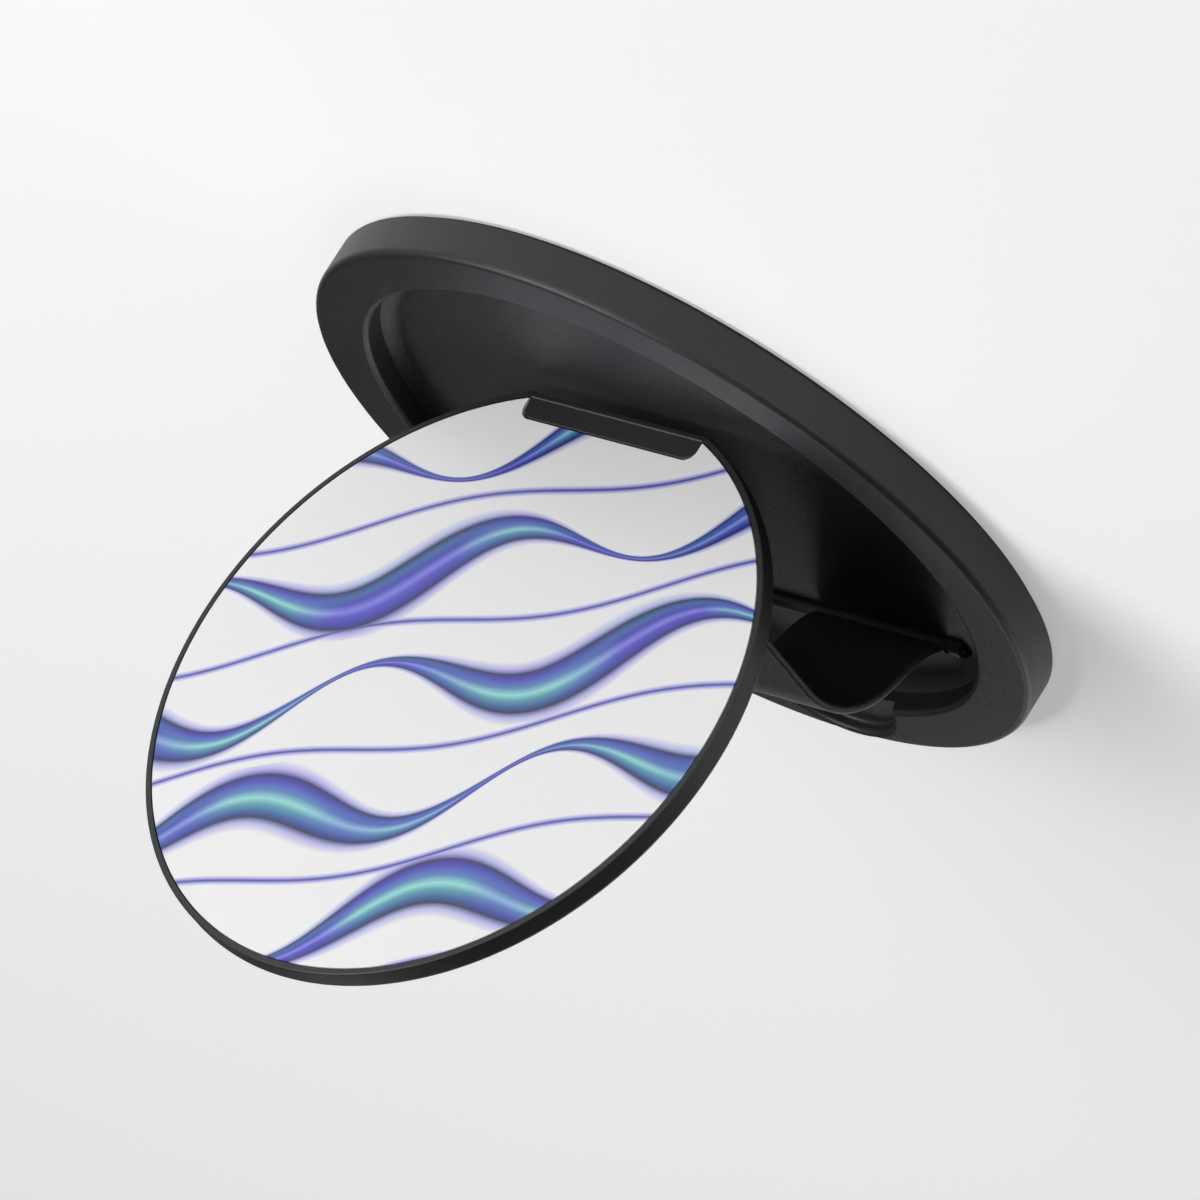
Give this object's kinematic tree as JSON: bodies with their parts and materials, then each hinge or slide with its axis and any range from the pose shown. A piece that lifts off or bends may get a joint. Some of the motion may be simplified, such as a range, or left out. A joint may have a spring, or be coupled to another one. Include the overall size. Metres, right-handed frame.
{
  "type": "magnetic phone grip",
  "caption": "Flat round magnetic base with a thin disc that swings out of its recess on a folding strap, as a finger grip and a stand for a phone.",
  "frame": {"origin": "centre of the phone-side face of the base", "axes": "+Z away from the phone, X along the hinge pins, +Y the way the face of the open disc looks"},
  "size_m": [0.0568, 0.0568, 0.048],
  "materials": {
    "housing": "fine satin moulded black",
    "pad": "matte grippy silicone",
    "cover": "matte film",
    "magnet": "nickel plated",
    "shield": "stamped and zinc plated",
    "pin": "ground wire",
    "washer": "slippery moulded plastic",
    "strap": "smooth tough elastomer",
    "tray": "fine satin moulded black",
    "face": "printed and clear coated",
    "tape": "foam adhesive"
  },
  "bodies": {
    "base": {"base_housing": "housing", "contact_pad": "pad", "channel_cover": "cover", "shield_ring": "shield", "root_pin": "pin", "root_washers": "washer", "magnet_01": "magnet", "magnet_02": "magnet", "magnet_03": "magnet", "magnet_04": "magnet", "magnet_05": "magnet", "magnet_06": "magnet", "magnet_07": "magnet", "magnet_08": "magnet", "magnet_09": "magnet", "magnet_10": "magnet", "magnet_11": "magnet", "magnet_12": "magnet", "magnet_13": "magnet", "magnet_14": "magnet", "magnet_15": "magnet", "magnet_16": "magnet"},
    "strap_lower": {"strap_lower_panel": "strap", "strap_knee": "strap"},
    "strap_upper": {"strap_upper_panel": "strap"},
    "disc": {"disc_tray": "tray", "face_plate": "face", "plate_tape": "tape", "catch_magnet_left": "magnet", "catch_magnet_right": "magnet", "head_pin": "pin", "head_washers": "washer"}
  },
  "joints": [
    {"name": "strap_fold", "type": "hinge", "parent": "base", "child": "strap_lower", "pos_m": [0, -0.0153, 0.00105], "axis": [-1, 0, 0], "range_deg": [0, 65]},
    {"name": "strap_bend", "type": "hinge", "parent": "strap_lower", "child": "strap_upper", "pos_m": [0, -0.01032, 0.01056], "axis": [1, 0, 0], "range_deg": [0, 65], "deforming": ["strap_knee"]},
    {"name": "disc_tilt", "type": "hinge", "parent": "strap_upper", "child": "disc", "pos_m": [0, 0.00696, 0.0116], "axis": [1, 0, 0], "range_deg": [0, 90]}
  ],
  "couplings": [
    {"joint": "strap_bend", "follows": "strap_fold", "ratio": 1},
    {"joint": "disc_tilt", "follows": "strap_fold", "ratio": 1.3846}
  ]
}
